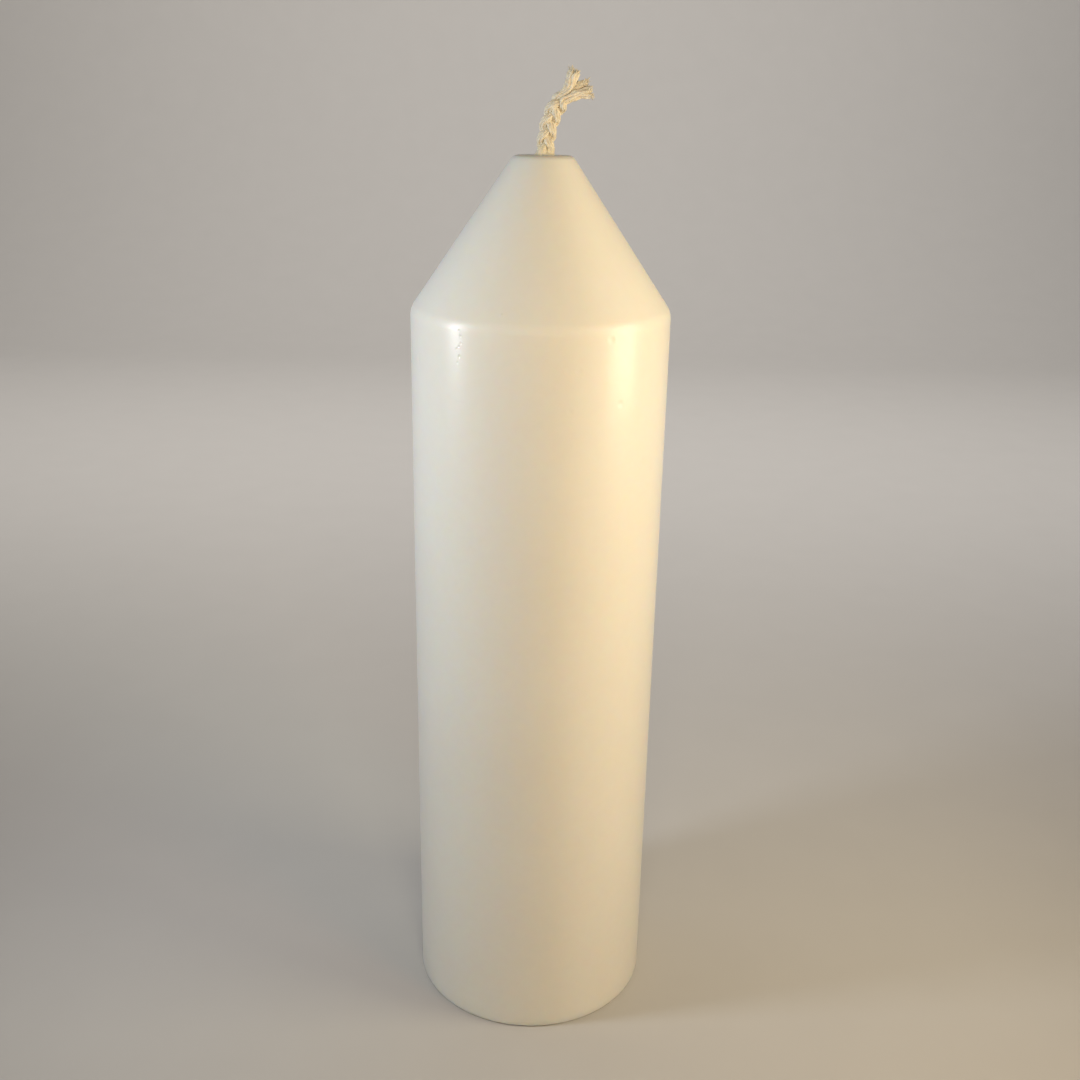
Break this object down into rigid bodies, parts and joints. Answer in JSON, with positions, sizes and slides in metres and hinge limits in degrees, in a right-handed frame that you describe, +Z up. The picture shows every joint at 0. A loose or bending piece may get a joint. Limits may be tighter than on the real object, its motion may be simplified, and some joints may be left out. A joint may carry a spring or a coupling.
{
  "type": "unity candle",
  "caption": "Tall round ivory wax pillar candle with a tapered top, a small flat tip and a thick plaited cotton wick whose end has come apart.",
  "frame": {"origin": "centre of the round face that the candle stands on", "axes": "+Z up along the candle, +X the way the loose end of the wick bends, -Y the side seen in the picture"},
  "size_m": [0.064, 0.064, 0.2479],
  "materials": {
    "ivory_wax": "smooth cast wax, satin, slightly translucent",
    "plug_wax": "poured wax, dull",
    "tinned_steel": "tin-plated sheet",
    "wick_cotton": "plaited cotton yarn, lightly waxed"
  },
  "bodies": {
    "root": {"wax_pillar": "ivory_wax", "base_plug": "plug_wax", "wick_tab": "tinned_steel", "wick_strand_a": "wick_cotton", "wick_strand_b": "wick_cotton", "wick_strand_c": "wick_cotton"}
  },
  "joints": []
}
